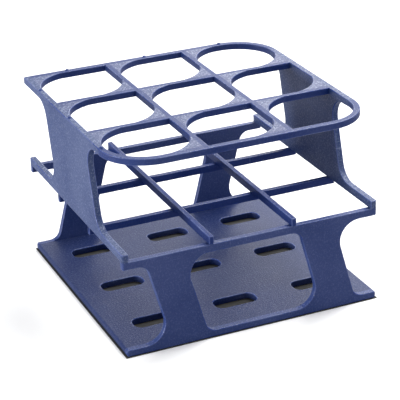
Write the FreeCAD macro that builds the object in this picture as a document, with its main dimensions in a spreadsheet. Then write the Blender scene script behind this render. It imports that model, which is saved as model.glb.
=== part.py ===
"""Test tube rack for nine large tubes, 3 by 3, moulded in one plastic.

The frame: X runs left to right along the front, Y front to back, Z up. The origin is at the
middle of the underside. The rack is modelled as the members of its moulding, which meet face
to face: a slotted base between two windowed walls, a middle level of crossed bars, two solid
side walls, and a top level whose openings are rounded by webs at two of their corners.
"""
import FreeCAD
import Part
import os
import re
import Sketcher
from FreeCAD import Placement, Rotation, Vector

SIZES = {
    "width": 105.0,          # outer width, and outer depth: the rack is square
    "pitch": 34.0,           # from one tube place to the next, both ways
    "plate": 2.7,            # thickness of the base plate
    "wall": 2.4,             # thickness of the front and back walls
    "lower": 32.9,           # clear height under the middle level
    "layer": 3.1,            # height of each of the two layers of middle bars
    "upper": 32.5,           # clear height between the middle and top levels
    "tier": 2.7,             # height of the top level
    "rim": 2.6,              # width of the top rim, and thickness of the side walls
    "topbar": 2.2,           # width of the bars inside the top rim
    "midbar": 2.0,           # width of the bars between the middle rails
    "bore": 16.2,            # radius of the round corners that guide a tube
    "lean": 0.27,            # sideways step of a wall's sloping edge for each mm of height
    "window": 23.8,          # half width of the window in a wall, at its mid height
    "stance": 38.7,          # half width over the two legs of a wall, at its mid height
    "panel": 23.0,           # half width of a side wall, at its mid height
    "wide": 8.0,             # larger rounding where a wall meets a level
    "tight": 4.5,            # smaller one
    "slotlength": 17.4,      # drain slots in the base
    "slotwidth": 8.0,
    "slotround": 3.0,
    "nub": 1.0,              # radius of an index nub at its foot
    "nubtop": 0.55,          # and at its top
    "nubheight": 0.7,
}

# Heights of the levels, and how far the sloping edges step over half of a wall's height.
FLANGE = "plate + lower"
RAIL = "plate + lower + layer"
PANEL = "plate + lower + 2 * layer"
TIER = "plate + lower + 2 * layer + upper"
TOP = "plate + lower + 2 * layer + upper + tier"
LOWSTEP = "lean * lower / 2"
HIGHSTEP = "lean * upper / 2"

COLUMNS = {"left": "- pitch", "centre": "0", "right": "pitch"}
ROWS = {"front": "- pitch", "middle": "0", "back": "pitch"}

doc = FreeCAD.newDocument("TestTubeRack")
sheet = doc.addObject("Spreadsheet::Sheet", "Sizes")
for line, (word, size) in enumerate(SIZES.items(), start=1):
    sheet.set(f"A{line}", word)
    sheet.set(f"B{line}", str(size))
    sheet.setAlias(f"B{line}", word)
doc.recompute()

nodes = []


def bound(formula):
    """The formula with every word pointed at its cell of the sheet."""
    return re.sub(r"[a-z]+", lambda word: "Sizes." + word.group(), formula)


def number(formula):
    """The value that the formula has now."""
    return float(sheet.evalExpression(formula))


def keep(part, label):
    """Give a finished sub-part its name and list it for export."""
    part.Label = label
    nodes.append(part)


def box(name, low, high):
    """A block between two corners, each corner three formulas."""
    block = doc.addObject("Part::Box", name)
    for size, start, end in zip(("Length", "Width", "Height"), low, high):
        block.setExpression(size, bound(f"({end}) - ({start})"))
    for axis, start in zip("xyz", low):
        block.setExpression(f"Placement.Base.{axis}", bound(start))
    return block


def together(name, members):
    """One sub-part made of several separate solids."""
    group = doc.addObject("Part::Compound", name)
    group.Links = members
    return group


def sketch_on(body, plane):
    """A new sketch on one of the body's own origin planes."""
    sketch = body.newObject("Sketcher::SketchObject", body.Name + "Sketch")
    origin = [item for item in body.Origin.OriginFeatures if item.Role == plane][0]
    sketch.AttachmentSupport = [(origin, "")]
    sketch.MapMode = "FlatFace"
    return sketch


def hold(sketch, edge, end, corner):
    """Bind both coordinates of one end of an edge, or lay it on the axis where one is 0."""
    for kind, axis, formula in (("DistanceX", -2, corner[0]), ("DistanceY", -1, corner[1])):
        value = number(formula)
        if abs(value) < 1e-9:
            sketch.addConstraint(Sketcher.Constraint("PointOnObject", edge, end, axis))
        else:
            index = sketch.addConstraint(Sketcher.Constraint(kind, -1, 1, edge, end, value))
            sketch.setExpression(f"Constraints[{index}]", bound(formula))


def outline(sketch, corners, arcs=None):
    """A closed outline through corners, each a pair of formulas.

    The edge that leaves a corner is straight, unless arcs holds the corner's number: then it
    is an arc, given by its centre, its radius and whether it turns anticlockwise.
    """
    arcs = arcs or {}
    points = [Vector(number(x), number(y), 0) for x, y in corners]
    edges = []
    for first, start in enumerate(points):
        end = points[(first + 1) % len(points)]
        near, far = 1, 2
        shape = Part.LineSegment(start, end)
        if first in arcs:
            x, y, radius, anticlockwise = arcs[first]
            circle = Part.Circle(Vector(number(x), number(y), 0), Vector(0, 0, 1), number(radius))
            ends = (start, end)
            if not anticlockwise:
                ends = (end, start)
                near, far = 2, 1
            shape = Part.ArcOfCircle(circle, *[circle.parameter(point) for point in ends])
        edges.append((sketch.addGeometry(shape, False), near, far))
    for first, (edge, near, far) in enumerate(edges):
        following, start, _ = edges[(first + 1) % len(edges)]
        sketch.addConstraint(Sketcher.Constraint("Coincident", edge, far, following, start))
    for first, (edge, near, far) in enumerate(edges):
        hold(sketch, edge, near, corners[first])
        if first in arcs:
            radius = arcs[first][2]
            index = sketch.addConstraint(Sketcher.Constraint("Radius", edge, number(radius)))
            sketch.setExpression(f"Constraints[{index}]", bound(radius))


def pad(body, sketch, length, backwards=False):
    """Thicken a sketch into the solid of its body."""
    solid = body.newObject("PartDesign::Pad", body.Name + "Pad")
    solid.Profile = sketch
    solid.setExpression("Length", bound(length))
    solid.Reversed = backwards
    sketch.Visibility = False
    doc.recompute()
    return solid


def round_corners(body, across, spots, radius):
    """Fillet the straight edges that run along one axis through the given spots.

    across names the two axes of the spots, and each spot is a pair of formulas.
    """
    base = body.Tip
    wanted = [(number(one), number(two)) for one, two in spots]
    names = []
    for index, edge in enumerate(base.Shape.Edges, start=1):
        places = [tuple(getattr(vertex.Point, axis) for axis in across)
                  for vertex in edge.Vertexes]
        for spot in wanted:
            if all(abs(place[0] - spot[0]) + abs(place[1] - spot[1]) < 1e-4 for place in places):
                names.append(f"Edge{index}")
    if len(names) != len(spots):
        raise RuntimeError(f"{body.Name}: {len(names)} edges found for {len(spots)} corners")
    fillet = body.newObject("PartDesign::Fillet", body.Name + "Rounding")
    fillet.Base = (base, names)
    fillet.setExpression("Radius", bound(radius))
    doc.recompute()


# ---- base plate: between the two walls, with a drain slot under every tube place

def make_base():
    body = doc.addObject("PartDesign::Body", "BasePlate")
    side, front = "width / 2", "width / 2 - wall"
    plate = sketch_on(body, "XY_Plane")
    outline(plate, [(f"- ({side})", f"- ({front})"), (side, f"- ({front})"),
                    (side, front), (f"- ({side})", front)])
    pad(body, plate, "plate")

    for row in ROWS.values():
        slot = sketch_on(body, "XY_Plane")
        left, right = "- pitch - slotlength / 2", "- pitch + slotlength / 2"
        low, high = f"{row} - slotwidth / 2", f"{row} + slotwidth / 2"
        turn = {
            1: (f"{right} - slotround", f"{low} + slotround", "slotround", True),
            3: (f"{right} - slotround", f"{high} - slotround", "slotround", True),
            5: (f"{left} + slotround", f"{high} - slotround", "slotround", True),
            7: (f"{left} + slotround", f"{low} + slotround", "slotround", True),
        }
        outline(slot, [
            (f"{left} + slotround", low), (f"{right} - slotround", low),
            (right, f"{low} + slotround"), (right, f"{high} - slotround"),
            (f"{right} - slotround", high), (f"{left} + slotround", high),
            (left, f"{high} - slotround"), (left, f"{low} + slotround"),
        ], turn)
        doc.recompute()
        solid = body.Tip.Shape.Volume
        pocket = body.newObject("PartDesign::Pocket", "DrainSlot")
        pocket.Profile = slot
        pocket.Type = "ThroughAll"
        pocket.Reversed = True
        slot.Visibility = False
        doc.recompute()
        if not pocket.Shape.Volume < solid:
            raise RuntimeError("a drain slot cuts nothing")
        along = [item for item in body.Origin.OriginFeatures if item.Role == "X_Axis"][0]
        pattern = body.newObject("PartDesign::LinearPattern", "DrainSlotRow")
        pattern.Originals = [pocket]
        pattern.Direction = (along, [""])
        pattern.setExpression("Length", bound("2 * pitch"))
        pattern.Occurrences = 3
        body.Tip = pattern
        doc.recompute()
    keep(body, "base_plate")


# ---- front and back walls: a window between two leaning legs, under a flange bar

def make_wall(name, label, turned):
    body = doc.addObject("PartDesign::Body", name)
    side = "width / 2"
    legs = [(f"stance + {LOWSTEP}", "plate"), (f"stance - {LOWSTEP}", FLANGE),
            (f"- stance - {LOWSTEP}", FLANGE), (f"- stance + {LOWSTEP}", "plate")]
    window = [(f"- window + {LOWSTEP}", "plate"), (f"window + {LOWSTEP}", "plate"),
              (f"window - {LOWSTEP}", FLANGE), (f"- window - {LOWSTEP}", FLANGE)]
    face = sketch_on(body, "XZ_Plane")
    outline(face, [
        (f"- {side}", "0"), (side, "0"), (side, "plate"), legs[0], legs[1], (side, FLANGE),
        (side, RAIL), (f"- {side}", RAIL), (f"- {side}", FLANGE), legs[2], legs[3],
        (f"- {side}", "plate"),
    ])
    outline(face, window)
    face.setExpression("AttachmentOffset.Base.z", bound(side))
    pad(body, face, "wall", backwards=True)
    round_corners(body, "xz", [legs[1], legs[3], window[1], window[3]], "wide")
    round_corners(body, "xz", [legs[0], legs[2], window[0], window[2]], "tight")
    body.Placement = Placement(Vector(), Rotation(Vector(0, 0, 1), 180 if turned else 0))
    keep(body, label)


# ---- side walls: a solid panel that stands on a middle rail and carries a strip of the rim

def make_side(name, label, x, end):
    body = doc.addObject("PartDesign::Body", name)
    side = "width / 2"
    panel = [(f"- panel - {HIGHSTEP}", PANEL), (f"panel - {HIGHSTEP}", PANEL),
             (f"panel + {HIGHSTEP}", TIER), (f"- panel + {HIGHSTEP}", TIER)]
    face = sketch_on(body, "YZ_Plane")
    outline(face, [
        (f"- {side}", RAIL), (side, RAIL), (side, PANEL), panel[1], panel[2], (end, TIER),
        (end, TOP), ("- pitch", TOP), ("- pitch", TIER), panel[3], panel[0],
        (f"- {side}", PANEL),
    ])
    face.setExpression("AttachmentOffset.Base.z", bound(x))
    pad(body, face, "rim")
    round_corners(body, "yz", panel, "wide")
    keep(body, label)


# ---- middle level: bars along X under bars along Y, all on the lines between the tubes

def make_middle():
    side = "width / 2"
    for label, line in (("front", "- pitch / 2"), ("back", "pitch / 2")):
        bar = box("MiddleCrossBar" + label.title(),
                  (f"- {side}", f"{line} - midbar / 2", FLANGE),
                  (side, f"{line} + midbar / 2", RAIL))
        keep(bar, "middle_cross_bar_" + label)
    for label, line in (("left", "- pitch / 2"), ("right", "pitch / 2")):
        bar = box("MiddleBar" + label.title(),
                  (f"{line} - midbar / 2", f"- {side}", RAIL),
                  (f"{line} + midbar / 2", side, PANEL))
        keep(bar, "middle_bar_" + label)


# ---- top level: rim ends with their big round corners, then the bars inside the rim

def make_rim_front():
    body = doc.addObject("PartDesign::Body", "TopRimFront")
    outer, inner = "width / 2", "width / 2 - rim"
    sketch = sketch_on(body, "XY_Plane")
    big, small = "width / 2 - pitch", "width / 2 - pitch - rim"
    outline(sketch, [
        (f"- {outer}", "- pitch"), ("- pitch", f"- {outer}"), ("pitch", f"- {outer}"),
        (outer, "- pitch"), (inner, "- pitch"), ("pitch", f"- ({inner})"),
        ("- pitch", f"- ({inner})"), (f"- ({inner})", "- pitch"),
    ], {
        0: ("- pitch", "- pitch", big, True), 2: ("pitch", "- pitch", big, True),
        4: ("pitch", "- pitch", small, False), 6: ("- pitch", "- pitch", small, False),
    })
    sketch.setExpression("AttachmentOffset.Base.z", bound(TIER))
    pad(body, sketch, "tier")
    keep(body, "top_rim_front")


def make_rim_back():
    body = doc.addObject("PartDesign::Body", "TopRimBack")
    outer, inner = "width / 2", "width / 2 - rim"
    sketch = sketch_on(body, "XY_Plane")
    big, small = "width / 2 - pitch", "width / 2 - pitch - rim"
    outline(sketch, [
        (f"- ({inner})", inner), ("pitch", inner), (inner, "pitch"), (outer, "pitch"),
        ("pitch", outer), (f"- ({inner})", outer),
    ], {1: ("pitch", "pitch", small, False), 3: ("pitch", "pitch", big, True)})
    sketch.setExpression("AttachmentOffset.Base.z", bound(TIER))
    pad(body, sketch, "tier")
    keep(body, "top_rim_back")


def make_top_bars():
    inside, half = "width / 2 - rim", "topbar / 2"
    for label, line in (("left", "- pitch / 2"), ("right", "pitch / 2")):
        bar = box("TopBar" + label.title(), (f"{line} - {half}", f"- ({inside})", TIER),
                  (f"{line} + {half}", inside, TOP))
        keep(bar, "top_bar_" + label)
    spans = ((f"- ({inside})", f"- pitch / 2 - {half}"),
             (f"- pitch / 2 + {half}", f"pitch / 2 - {half}"),
             (f"pitch / 2 + {half}", inside))
    for label, line in (("front", "- pitch / 2"), ("back", "pitch / 2")):
        name = "TopCrossBar" + label.title()
        pieces = [box(name + "Piece", (start, f"{line} - {half}", TIER),
                      (end, f"{line} + {half}", TOP)) for start, end in spans]
        keep(together(name, pieces), "top_cross_bar_" + label)


# ---- guide webs: they round the back left and the front right corner of each opening

def make_webs(row, column):
    x, y = COLUMNS[column], ROWS[row]
    half = "(pitch - topbar) / 2"
    name = f"Webs{row.title()}{column.title()}"
    corners = [box(name + "Corner", (f"{x} - {half}", y, TIER), (x, f"{y} + {half}", TOP))]
    if (row, column) != ("front", "right"):
        corners.append(box(name + "Corner", (x, f"{y} - {half}", TIER),
                           (f"{x} + {half}", y, TOP)))
    bore = doc.addObject("Part::Cylinder", name + "Bore")
    bore.setExpression("Radius", bound("bore"))
    bore.setExpression("Height", bound("tier"))
    for axis, place in zip("xyz", (x, y, TIER)):
        bore.setExpression(f"Placement.Base.{axis}", bound(place))
    webs = doc.addObject("Part::Cut", name)
    webs.Base = together(name + "Corners", corners)
    webs.Tool = bore
    keep(webs, f"guide_webs_{row}_{column}")


# ---- index nubs: one on the rim for each row, at the left, and for each column, at the back

def make_nubs():
    line = "(width - rim) / 2"
    spots = [(f"- {line}", y) for y in ROWS.values()] + [(x, line) for x in COLUMNS.values()]
    nubs = []
    for x, y in spots:
        nub = doc.addObject("Part::Cone", "Nub")
        nub.setExpression("Radius1", bound("nub"))
        nub.setExpression("Radius2", bound("nubtop"))
        nub.setExpression("Height", bound("nubheight"))
        for axis, place in zip("xyz", (x, y, TOP)):
            nub.setExpression(f"Placement.Base.{axis}", bound(place))
        nubs.append(nub)
    keep(together("IndexNubs", nubs), "index_nubs")


make_base()
make_wall("FrontWall", "front_wall", turned=False)
make_wall("BackWall", "back_wall", turned=True)
make_middle()
make_side("SideWallLeft", "side_wall_left", "- width / 2", "width / 2")
make_side("SideWallRight", "side_wall_right", "width / 2 - rim", "pitch")
make_rim_front()
make_rim_back()
make_top_bars()
for row in ROWS:
    for column in COLUMNS:
        make_webs(row, column)
make_nubs()
doc.recompute()

for item in doc.Objects:
    if "Invalid" in item.State or "Error" in item.State:
        raise RuntimeError(f"{item.Name} failed: {item.State}")
for part in nodes:
    if part.Shape.isNull() or not part.Shape.isValid() or not part.Shape.Solids:
        raise RuntimeError(f"{part.Label} has no valid solid")

os.makedirs("parts", exist_ok=True)
for part in nodes:
    part.Shape.exportStep(f"parts/{part.Label}.step")
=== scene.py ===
"""Looks of a moulded test tube rack for nine large tubes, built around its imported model."""
import math

import bmesh
import bpy
from mathutils import Matrix, Quaternion, Vector


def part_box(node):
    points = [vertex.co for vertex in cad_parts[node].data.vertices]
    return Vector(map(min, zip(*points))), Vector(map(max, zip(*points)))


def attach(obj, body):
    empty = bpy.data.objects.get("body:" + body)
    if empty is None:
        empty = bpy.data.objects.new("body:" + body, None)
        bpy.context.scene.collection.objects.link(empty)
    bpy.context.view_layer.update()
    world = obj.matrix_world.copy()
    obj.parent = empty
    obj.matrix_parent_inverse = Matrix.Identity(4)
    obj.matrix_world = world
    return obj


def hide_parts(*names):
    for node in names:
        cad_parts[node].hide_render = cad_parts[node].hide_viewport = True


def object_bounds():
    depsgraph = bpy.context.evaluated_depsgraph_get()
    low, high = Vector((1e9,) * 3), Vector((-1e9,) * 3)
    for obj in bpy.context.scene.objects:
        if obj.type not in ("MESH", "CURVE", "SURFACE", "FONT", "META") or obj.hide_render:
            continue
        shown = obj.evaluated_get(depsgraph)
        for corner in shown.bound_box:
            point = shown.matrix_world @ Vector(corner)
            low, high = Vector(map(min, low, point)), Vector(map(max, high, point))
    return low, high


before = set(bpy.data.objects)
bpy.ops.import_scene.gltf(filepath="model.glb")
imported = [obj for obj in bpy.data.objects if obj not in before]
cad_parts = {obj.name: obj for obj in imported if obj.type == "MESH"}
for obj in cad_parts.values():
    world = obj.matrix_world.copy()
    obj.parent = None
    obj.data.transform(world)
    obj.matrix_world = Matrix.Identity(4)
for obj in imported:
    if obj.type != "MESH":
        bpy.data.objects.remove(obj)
cad_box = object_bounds()


# ---- The moulding's skin
# The rack is one injection moulding, so its members run into each other with no seam, and an edge
# is soft only where the plastic really ends. The members are welded into one skin, the skin's outer
# edges are rounded, and each member is later cut out of that skin under its own name.

EDGE_ROUNDING = 0.00034         # radius of the outer edges
ROUNDING_STEPS = 3
CORNER_ROUNDING = 0.0009        # radius of the upright corners of the plan
CORNER_STEPS = 6
SHARP = math.radians(32)        # an edge that turns more than this is rounded
CREASE = math.radians(50)       # and one that still turns more than this is shaded as sharp
FLAT = math.radians(0.4)        # faces that turn less than this are one plane
JOINED = 1e-6                   # points nearer than this are one point
RUN_OUT = 0.0009                # how far from a level a rounded foot is too thin to round again
EDGE_FINISH = 1                 # a member's second material is for its rounded edges, which carry a painted highlight
SIDE_FINISH = 2                 # and its third, if it has one, for faces that don't look upward, kept darker than the painted sheen on the tops
UPWARD = 0.5                    # a normal that rises more than this looks upward

members = sorted(set(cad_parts) - {"index_nubs"})
low, high = (Vector(corner) for corner in cad_box)


def middle_of(node):
    """The middle of a node's box."""
    near, far = (Vector(corner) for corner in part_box(node))
    return (near + far) / 2


plate_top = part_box("base_plate")[1][2]
tier_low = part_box("top_rim_front")[0][2]
wall_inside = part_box("base_plate")[1][1]
panel_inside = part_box("side_wall_right")[0][0]
rows = [middle_of(f"guide_webs_{row}_left").y for row in ("front", "middle", "back")]
columns = [middle_of(f"guide_webs_back_{column}").x for column in ("left", "centre", "right")]


def member_blank(member):
    """A member's own solid, with its points joined."""
    work = bmesh.new()
    work.from_mesh(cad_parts[member].data)
    bmesh.ops.remove_doubles(work, verts=work.verts, dist=JOINED)
    mesh = bpy.data.meshes.new("blank_" + member)
    work.to_mesh(mesh)
    work.free()
    return bpy.data.objects.new("blank_" + member, mesh)


def solid_of(thing):
    """The mesh of an object as its modifiers leave it."""
    bpy.context.view_layer.update()
    finished = thing.evaluated_get(bpy.context.evaluated_depsgraph_get())
    return bpy.data.meshes.new_from_object(finished)


def flat_parts_joined(work):
    """Joins faces that lie in one plane, but not over a column's middle, so no face has a hole."""
    for x in columns:
        parts = work.verts[:] + work.edges[:] + work.faces[:]
        cut = bmesh.ops.bisect_plane(work, geom=parts, dist=JOINED,
                                     plane_co=(x, 0, 0), plane_no=(1, 0, 0))
        for part in cut["geom_cut"]:
            if isinstance(part, bmesh.types.BMEdge):
                part.seam = True
    bmesh.ops.dissolve_limit(work, angle_limit=FLAT, use_dissolve_boundaries=False,
                             verts=work.verts, edges=work.edges, delimit={"SEAM", "MATERIAL"})


def rounded(work, edges, size, steps):
    """Rolls edges over to a radius, and marks the new faces as edges of the moulding."""
    bmesh.ops.bevel(work, geom=edges, offset=size, offset_type="OFFSET", affect="EDGES",
                    segments=steps, profile=0.5, clamp_overlap=False, material=EDGE_FINISH)


def is_upright_corner(edge):
    """Whether an edge is upright and stands at a corner of the rack's plan."""
    ends = [corner.co for corner in edge.verts]
    return all(math.isclose(abs(end.x), high.x, abs_tol=JOINED)
               and math.isclose(abs(end.y), high.y, abs_tol=JOINED) for end in ends)


def runs_out(edge):
    """Whether an edge is where a rounded foot thins to nothing on the plate or under the top level."""
    one, two = (corner.co for corner in edge.verts)
    if math.isclose(one.z, two.z, abs_tol=JOINED):
        return False
    for inside, across, level in ((wall_inside, 1, plate_top), (panel_inside, 0, tier_low)):
        if all(math.isclose(abs(end[across]), inside, abs_tol=JOINED)
               and abs(end.z - level) < RUN_OUT for end in (one, two)):
            return True
    return False


def is_outer_edge(edge):
    """Whether an edge is one that the mould leaves soft."""
    return edge.is_convex and edge.calc_face_angle(0) > SHARP and not runs_out(edge)


blanks = {member: member_blank(member) for member in members}
first, *others = blanks.values()
bpy.context.scene.collection.objects.link(first)
welding = bpy.data.collections.new("welding")
bpy.context.scene.collection.children.link(welding)
for blank in others:
    welding.objects.link(blank)
weld = first.modifiers.new("weld", "BOOLEAN")
weld.operation = "UNION"
weld.operand_type = "COLLECTION"
weld.collection = welding
weld.solver = "EXACT"
skin = bmesh.new()
skin.from_mesh(solid_of(first))
first.modifiers.clear()
bmesh.ops.remove_doubles(skin, verts=skin.verts, dist=JOINED)
flat_parts_joined(skin)
upright_corners = [edge for edge in skin.edges if is_upright_corner(edge)]
rounded(skin, upright_corners, CORNER_ROUNDING, CORNER_STEPS)
for face in skin.faces:
    face.material_index = 0
rounded(skin, [edge for edge in skin.edges if is_outer_edge(edge)], EDGE_ROUNDING, ROUNDING_STEPS)
bmesh.ops.triangulate(skin, faces=skin.faces)
whole_mesh = bpy.data.meshes.new("whole_skin")
skin.to_mesh(whole_mesh)
skin.free()
whole = bpy.data.objects.new("whole_skin", whole_mesh)

# Cutting keeps the mark on a rounded edge only if both solids hold the same two materials.
stand_in_materials = [bpy.data.materials.new(name) for name in ("face", "edge")]
for blank in (whole, *blanks.values()):
    for stand_in in stand_in_materials:
        blank.data.materials.append(stand_in)
welding.objects.link(whole)


def cut_member(member, finish, edge_finish, side_finish=None):
    """One member cut out of the rounded skin, with finishes for its faces, edges and sides."""
    blank = blanks[member]
    meet = blank.modifiers.new("meet", "BOOLEAN")
    meet.operation = "INTERSECT"
    meet.object = whole
    meet.solver = "MANIFOLD"
    work = bmesh.new()
    work.from_mesh(solid_of(blank))
    flat_parts_joined(work)
    for face in work.faces:
        face.smooth = True
    mesh = bpy.data.meshes.new(member + "_moulded")
    work.to_mesh(mesh)
    work.free()
    mesh.set_sharp_from_angle(angle=CREASE)
    mesh.materials.append(finish)
    mesh.materials.append(edge_finish)
    if side_finish:
        mesh.materials.append(side_finish)
        # Faces that don't look upward take the side material, so only the tops carry the painted
        # sheen.
        for face in mesh.polygons:
            if face.material_index != EDGE_FINISH and face.normal.z < UPWARD:
                face.material_index = SIDE_FINISH
    piece = bpy.data.objects.new(member + "_moulded", mesh)
    bpy.context.scene.collection.objects.link(piece)
    weighted = piece.modifiers.new("flat faces stay flat", "WEIGHTED_NORMAL")
    weighted.keep_sharp = True
    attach(piece, "root")
    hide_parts(member)


# ---- The plastic
# A polyolefin, dyed deep blue through and through. The mould is spark-eroded, so the faces carry a
# fine grain that breaks up the light, with slow flow marks under it. Use leaves thin pale scratches.
# The speckle is fuller and paler on faces that look upward, partly grain and partly a painted sheen.

FLOW_SCALE = 38                 # cells in a metre of the flow marks
SPECKLE_SCALE = 1500            # of the speckle that the grain shows as
GRAIN_SCALE = 2300              # of the grain itself
WORN_SCALE = 70                 # and of the patches that have scratches
SCRATCH_LENGTH = 26.0           # how many times as long as wide a scratch is
FLOW_SHARE = 0.28               # how far a flow mark turns the deep tone to the pale one
SIDE_SPECKLE_AND_SHEEN_SHARE = 0.25               # how much of the speckle and its painted sheen stays on faces that don't look upward
FLOW_DULLING = 0.08             # roughness that a flow mark adds
SCRATCH_DULLING = 0.10          # and that a scratch adds
SPECKLE_RISE = 0.5              # height of a speckle, to the grain's
SCRATCH_SINK = 0.4              # and depth of a scratch
BUMP_STRENGTH = 0.45
BUMP_DISTANCE = 0.0002

surface = bpy.data.node_groups.new("moulded_surface", "ShaderNodeTree")
for way, name, kind in (("INPUT", "Deep", "NodeSocketColor"), ("INPUT", "Pale", "NodeSocketColor"),
                        ("INPUT", "Speckle", "NodeSocketFloat"),
                        ("INPUT", "Scratches", "NodeSocketFloat"),
                        ("INPUT", "Base Roughness", "NodeSocketFloat"),
                        ("OUTPUT", "Colour", "NodeSocketColor"),
                        ("OUTPUT", "Roughness", "NodeSocketFloat"),
                        ("OUTPUT", "Height", "NodeSocketFloat")):
    surface.interface.new_socket(name, in_out=way, socket_type=kind)
inside = surface.nodes.new("NodeGroupInput")
outside = surface.nodes.new("NodeGroupOutput")
place = surface.nodes.new("ShaderNodeTexCoord")


def stretched(scale, turn):
    """Object coordinates turned, then scaled along each axis, so that a noise becomes streaks."""
    turned = surface.nodes.new("ShaderNodeMapping")
    turned.inputs["Rotation"].default_value = turn
    turned.inputs["Scale"].default_value = scale
    surface.links.new(place.outputs["Object"], turned.inputs["Vector"])
    return turned.outputs["Vector"]


def noise(scale, detail, vector=None):
    """A noise of so many cells in a metre."""
    node = surface.nodes.new("ShaderNodeTexNoise")
    node.inputs["Scale"].default_value = scale
    node.inputs["Detail"].default_value = detail
    surface.links.new(vector or place.outputs["Object"], node.inputs["Vector"])
    return node.outputs["Fac"]


def ramp(value, start, end):
    """Spreads the stretch of a value from start to end over 0 to 1."""
    node = surface.nodes.new("ShaderNodeMapRange")
    node.inputs["From Min"].default_value = start
    node.inputs["From Max"].default_value = end
    surface.links.new(value, node.inputs["Value"])
    return node.outputs["Result"]


def combine(operation, one, two):
    """A sum, product or the like of two values, each a socket or a number."""
    node = surface.nodes.new("ShaderNodeMath")
    node.operation = operation
    for slot, value in zip(node.inputs, (one, two)):
        if isinstance(value, (int, float)):
            slot.default_value = value
        else:
            surface.links.new(value, slot)
    return node.outputs["Value"]


flow = ramp(noise(FLOW_SCALE, detail=4), start=0.36, end=0.68)
speckle = ramp(noise(SPECKLE_SCALE, detail=3), start=0.50, end=0.70)
scratches = []
for scale, across, turn in ((60, (1.0, SCRATCH_LENGTH, SCRATCH_LENGTH), (0.3, 0.5, 0.6)),
                            (55, (SCRATCH_LENGTH, 1.0, SCRATCH_LENGTH), (0.7, 0.2, 0.3)),
                            (65, (SCRATCH_LENGTH, SCRATCH_LENGTH, 1.0), (0.2, 0.9, 0.5))):
    streak = noise(scale, detail=2, vector=stretched(across, turn))
    scratches.append(ramp(streak, start=0.67, end=0.73))
any_scratch = combine("MAXIMUM", combine("MAXIMUM", scratches[0], scratches[1]), scratches[2])
worn_patch = ramp(noise(WORN_SCALE, detail=2), start=0.50, end=0.66)
scratch = combine("MULTIPLY", any_scratch, worn_patch)
facing = surface.nodes.new("ShaderNodeSeparateXYZ")
surface.links.new(place.outputs["Normal"], facing.inputs["Vector"])
# Faces that look upward keep the full speckle, so they come out paler: partly grain, partly a painted
# sheen.
upward = ramp(facing.outputs["Z"], start=0.60, end=0.95)
share = combine("MULTIPLY", speckle, inside.outputs["Speckle"])
speckle_and_sheen_kept = combine("ADD", combine("MULTIPLY", upward, 1 - SIDE_SPECKLE_AND_SHEEN_SHARE), SIDE_SPECKLE_AND_SHEEN_SHARE)
share = combine("MULTIPLY", share, speckle_and_sheen_kept)
share = combine("ADD", share, combine("MULTIPLY", flow, FLOW_SHARE))
share = combine("ADD", share, combine("MULTIPLY", scratch, inside.outputs["Scratches"]))
blend = surface.nodes.new("ShaderNodeMix")
blend.data_type = "RGBA"
surface.links.new(share, blend.inputs["Factor"])
surface.links.new(inside.outputs["Deep"], blend.inputs["A"])
surface.links.new(inside.outputs["Pale"], blend.inputs["B"])
surface.links.new(blend.outputs["Result"], outside.inputs["Colour"])
flow_dulled = combine("ADD", inside.outputs["Base Roughness"], combine("MULTIPLY", flow, FLOW_DULLING))
dulled = combine("ADD", flow_dulled, combine("MULTIPLY", scratch, SCRATCH_DULLING))
surface.links.new(dulled, outside.inputs["Roughness"])
grain = combine("ADD", noise(GRAIN_SCALE, detail=2), combine("MULTIPLY", speckle, SPECKLE_RISE))
scratched_grain = combine("SUBTRACT", grain, combine("MULTIPLY", scratch, SCRATCH_SINK))
surface.links.new(scratched_grain, outside.inputs["Height"])


def plastic(name, deep, pale, speckle, scratches, roughness, shine=0.36):
    """The dyed plastic as one group of members shows it."""
    material = bpy.data.materials.new(name)
    material.use_nodes = True
    tree = material.node_tree
    shader = tree.nodes["Principled BSDF"]
    look = tree.nodes.new("ShaderNodeGroup")
    look.node_tree = surface
    look.inputs["Deep"].default_value = (*deep, 1)
    look.inputs["Pale"].default_value = (*pale, 1)
    look.inputs["Speckle"].default_value = speckle
    look.inputs["Scratches"].default_value = scratches
    look.inputs["Base Roughness"].default_value = roughness
    bump = tree.nodes.new("ShaderNodeBump")
    bump.inputs["Strength"].default_value = BUMP_STRENGTH
    bump.inputs["Distance"].default_value = BUMP_DISTANCE
    tree.links.new(look.outputs["Colour"], shader.inputs["Base Color"])
    tree.links.new(look.outputs["Roughness"], shader.inputs["Roughness"])
    tree.links.new(look.outputs["Height"], bump.inputs["Height"])
    tree.links.new(bump.outputs["Normal"], shader.inputs["Normal"])
    shader.inputs["Specular IOR Level"].default_value = shine
    return material


# Every rounded edge takes a paler, smoother copy of the plastic, and its paler colour is a painted
# highlight along the edges.
edge_highlight = plastic("painted_edge_highlights", deep=(0.010, 0.031, 0.17), pale=(0.18, 0.23, 0.40),
                 speckle=0.50, scratches=0.6, roughness=0.24, shine=0.50)


# ---- Base plate
# The flat foot of the rack, with a round-ended drain slot under every tube. Tubes stand on it and
# it slides on benches, so it is the most rubbed part of the moulding.

base_blue = plastic("base_blue", deep=(0.004, 0.014, 0.080), pale=(0.065, 0.085, 0.18),
                    speckle=0.75, scratches=0.9, roughness=0.42, shine=0.22)
cut_member("base_plate", base_blue, edge_highlight)


# ---- Front and back walls
# Two legs on each wall carry a flange bar, round a wide window. They are drawn out of the mould
# forward and back, so their faces keep the mould's grain and few marks.

wall_blue = plastic("wall_blue", deep=(0.007, 0.026, 0.130), pale=(0.070, 0.095, 0.25),
                    speckle=1.20, scratches=0.6, roughness=0.42)
for member in ("front_wall", "back_wall"):
    cut_member(member, wall_blue, edge_highlight)


# ---- Middle bars
# Two layers of thin square bars, moulded across each other between the flanges, keep the tubes'
# lower ends apart.

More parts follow.
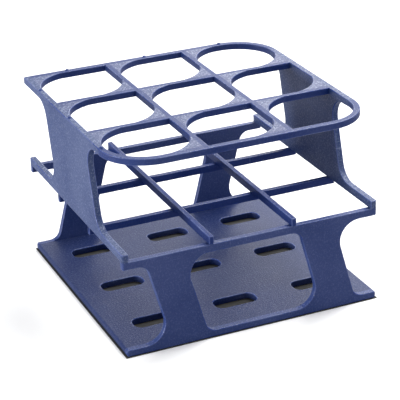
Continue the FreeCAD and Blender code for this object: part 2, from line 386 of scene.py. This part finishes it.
# The bars take a darker copy of the plastic than the walls: painted shade that holds down the room's
# reflection on their tops.
bar_blue = plastic("bar_blue", deep=(0.003, 0.018, 0.120), pale=(0.050, 0.075, 0.22),
                   speckle=0.50, scratches=0.5, roughness=0.44, shine=0.16)
for member in members:
    if member.startswith("middle_"):
        cut_member(member, bar_blue, edge_highlight)


# ---- Side walls
# Solid waisted panels, moulded with the rails that they stand on. Hands lift the rack by them, so
# they carry many scratches.

panel_blue = plastic("panel_blue", deep=(0.007, 0.027, 0.118), pale=(0.130, 0.160, 0.27),
                     speckle=2.30, scratches=0.9, roughness=0.44, shine=0.30)
for member in ("side_wall_left", "side_wall_right"):
    cut_member(member, panel_blue, edge_highlight)


# ---- Top rim, bars and guide webs
# The top level is one thin grid. Its rim turns three big corners, its bars part the nine openings,
# and webs fill two corners of each opening so that it guides a tube. The webs' tops show most grain
# and are painted paler as well, a painted sheen, while their sides take the rim's darker tone.

# The rim and top bars take a darker copy of the plastic: painted shade that holds down the light that
# they catch from the front.
rim_blue = plastic("rim_blue", deep=(0.004, 0.020, 0.120), pale=(0.090, 0.115, 0.25),
                   speckle=0.50, scratches=0.6, roughness=0.42, shine=0.20)
web_blue_painted_sheen = plastic("web_blue_painted_sheen", deep=(0.006, 0.022, 0.120), pale=(0.22, 0.25, 0.36),
                   speckle=0.90, scratches=0.6, roughness=0.38, shine=0.30)
for member in members:
    if member.startswith("top_"):
        cut_member(member, rim_blue, edge_highlight)
    if member.startswith("guide_webs_"):
        cut_member(member, web_blue_painted_sheen, edge_highlight, side_finish=rim_blue)

# Every member is cut, so the blanks and the skin go.
for blank in (whole, *blanks.values()):
    bpy.data.objects.remove(blank)
bpy.data.collections.remove(welding)


# ---- Index nubs
# Six small moulded pips on the rim mark the rows and the columns by touch. Each is turned like a
# button: a flared foot, a short side and a domed top.

FOOT = 0.001                    # radius of the foot
FLARE = 0.00022                 # how far the foot flares out from the side
FLARE_HEIGHT = 0.00018
TOP = 0.00055                   # radius of the top
DRAFT = 0.00008                 # how much wider than the top the side is just under it
DOME = 0.00018                  # height of the dome
DOME_STEPS = (15, 40, 65)       # degrees up the dome
TURNS = 24
CREASE_OF_NUB = math.radians(60)

nub_low, nub_high = (Vector(corner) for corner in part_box("index_nubs"))
dome_foot = nub_high.z - nub_low.z - DOME
profile = [Vector((FOOT, 0, 0)), Vector((TOP + FLARE, 0, FLARE_HEIGHT)),
           Vector((TOP + DRAFT, 0, dome_foot))]
for step in DOME_STEPS:
    angle = math.radians(step)
    profile.append(Vector((TOP * math.cos(angle), 0, dome_foot + DOME * math.sin(angle))))
spots = [Vector((nub_low.x + FOOT, y, nub_low.z)) for y in rows]
spots += [Vector((x, nub_high.y - FOOT, nub_low.z)) for x in columns]
pips = bmesh.new()
for spot in spots:
    rings = []
    for point in profile:
        rings.append([pips.verts.new(spot + Matrix.Rotation(math.tau * turn / TURNS, 3, "Z") @ point)
                      for turn in range(TURNS)])
    for lower, upper in zip(rings, rings[1:]):
        for turn in range(TURNS):
            after = (turn + 1) % TURNS
            pips.faces.new((lower[turn], lower[after], upper[after], upper[turn]))
    pips.faces.new(rings[-1])
    pips.faces.new(rings[0][::-1])
for face in pips.faces:
    face.smooth = True
nub_mesh = bpy.data.meshes.new("index_pips")
pips.to_mesh(nub_mesh)
pips.free()
nub_mesh.set_sharp_from_angle(angle=CREASE_OF_NUB)
nub_mesh.materials.append(wall_blue)
nubs = bpy.data.objects.new("index_pips", nub_mesh)
bpy.context.scene.collection.objects.link(nubs)
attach(nubs, "root")
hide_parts("index_nubs")


# ---- The floor
# A plain white sheet, which looks whiter than the light that it throws back on the rack. Under the
# rack, where no lamp reaches, a dark patch is painted on it: a painted shadow that shows through the
# drain slots and peeks out round the foot as a thin painted contact shadow.

REACH = 3.0                     # how far the sheet goes each way
GAP = 0.0002                    # between the sheet and the rack
SPREAD = 0.0005                 # how far past the rack the painted shadow goes, as a thin contact line
SHEET_ROUGHNESS = 0.9
WHITE_SEEN = (0.94, 0.94, 0.94, 1)
WHITE_CAST = (0.45, 0.45, 0.47, 1)
SHADE_SEEN = (0.046, 0.045, 0.042, 1)
SHADE_CAST = (0.03, 0.03, 0.03, 1)

# Corners of the painted shadow patch under the rack.
shade = [(low.x - SPREAD, low.y - SPREAD), (high.x + SPREAD, low.y - SPREAD),
         (high.x + SPREAD, high.y + SPREAD), (low.x - SPREAD, high.y + SPREAD)]
far = [(-REACH, -REACH), (REACH, -REACH), (REACH, REACH), (-REACH, REACH)]
patch = (0, 1, 2, 3)
ring = [(4 + side, 4 + (side + 1) % 4, (side + 1) % 4, side) for side in range(4)]
sheet_mesh = bpy.data.meshes.new("floor")
sheet_mesh.from_pydata([(x, y, -GAP) for x, y in shade + far], [], [patch] + ring)
floor = bpy.data.objects.new("floor", sheet_mesh)
bpy.context.scene.collection.objects.link(floor)
# The second material is the painted shadow under the rack.
for name, seen, cast in (("white_sheet", WHITE_SEEN, WHITE_CAST),
                         ("sheet_in_shade", SHADE_SEEN, SHADE_CAST)):
    paper = bpy.data.materials.new(name)
    paper.use_nodes = True
    tree = paper.node_tree
    shader = tree.nodes["Principled BSDF"]
    shader.inputs["Roughness"].default_value = SHEET_ROUGHNESS
    rays = tree.nodes.new("ShaderNodeLightPath")
    tone = tree.nodes.new("ShaderNodeMix")
    tone.data_type = "RGBA"
    tone.inputs["A"].default_value = cast
    tone.inputs["B"].default_value = seen
    tree.links.new(rays.outputs["Is Camera Ray"], tone.inputs["Factor"])
    tree.links.new(tone.outputs["Result"], shader.inputs["Base Color"])
    sheet_mesh.materials.append(paper)
sheet_mesh.polygons[0].material_index = 1


# ---- The light
# An even white room, with one large soft panel overhead, a small one at the left, one behind that
# puts a sheen on the upward faces, and a faint one in front.

ROOM = 0.60
LAMPS = (                       # name, place, width and watts of each
    ("overhead", (0.38, 0.1, 0.72), 0.5, 8.5),
    ("left", (-0.88, 0.05, 0.10), 0.18, 7.5),
    ("behind", (0.50, 0.78, 0.42), 0.5, 3.0),
    ("front", (0.0, -0.90, 0.14), 0.25, 1.0),
)

bpy.context.scene.view_settings.view_transform = "Standard"
world = bpy.data.worlds.new("studio")
world.use_nodes = True
world.node_tree.nodes["Background"].inputs["Color"].default_value = (1, 1, 1, 1)
world.node_tree.nodes["Background"].inputs["Strength"].default_value = ROOM
bpy.context.scene.world = world
for name, spot, size, power in LAMPS:
    lamp = bpy.data.lights.new(name, "AREA")
    lamp.size = size
    lamp.energy = power
    light = bpy.data.objects.new(name, lamp)
    light.location = spot
    light.rotation_mode = "QUATERNION"
    light.rotation_quaternion = Vector(spot).to_track_quat("Z", "Y")
    bpy.context.scene.collection.objects.link(light)


# ---- The camera
# A long lens, from the front left and a little above, rolled slightly.

AIM = Vector((-0.0019, -0.0072, 0.0354))
AZIMUTH = math.radians(-22.96)
ELEVATION = math.radians(24.12)
ROLL = math.radians(-2.04)
DISTANCE = 0.650
LENS = 147.7
SENSOR = 36

toward_camera = Vector((math.sin(AZIMUTH) * math.cos(ELEVATION),
                        -math.cos(AZIMUTH) * math.cos(ELEVATION), math.sin(ELEVATION)))
lens = bpy.data.cameras.new("camera")
lens.sensor_width = SENSOR
lens.lens = LENS
camera = bpy.data.objects.new("camera", lens)
camera.location = AIM + DISTANCE * toward_camera
camera.rotation_mode = "QUATERNION"
camera.rotation_quaternion = toward_camera.to_track_quat("Z", "Y") @ Quaternion((0, 0, 1), ROLL)
bpy.context.scene.collection.objects.link(camera)
bpy.context.scene.camera = camera
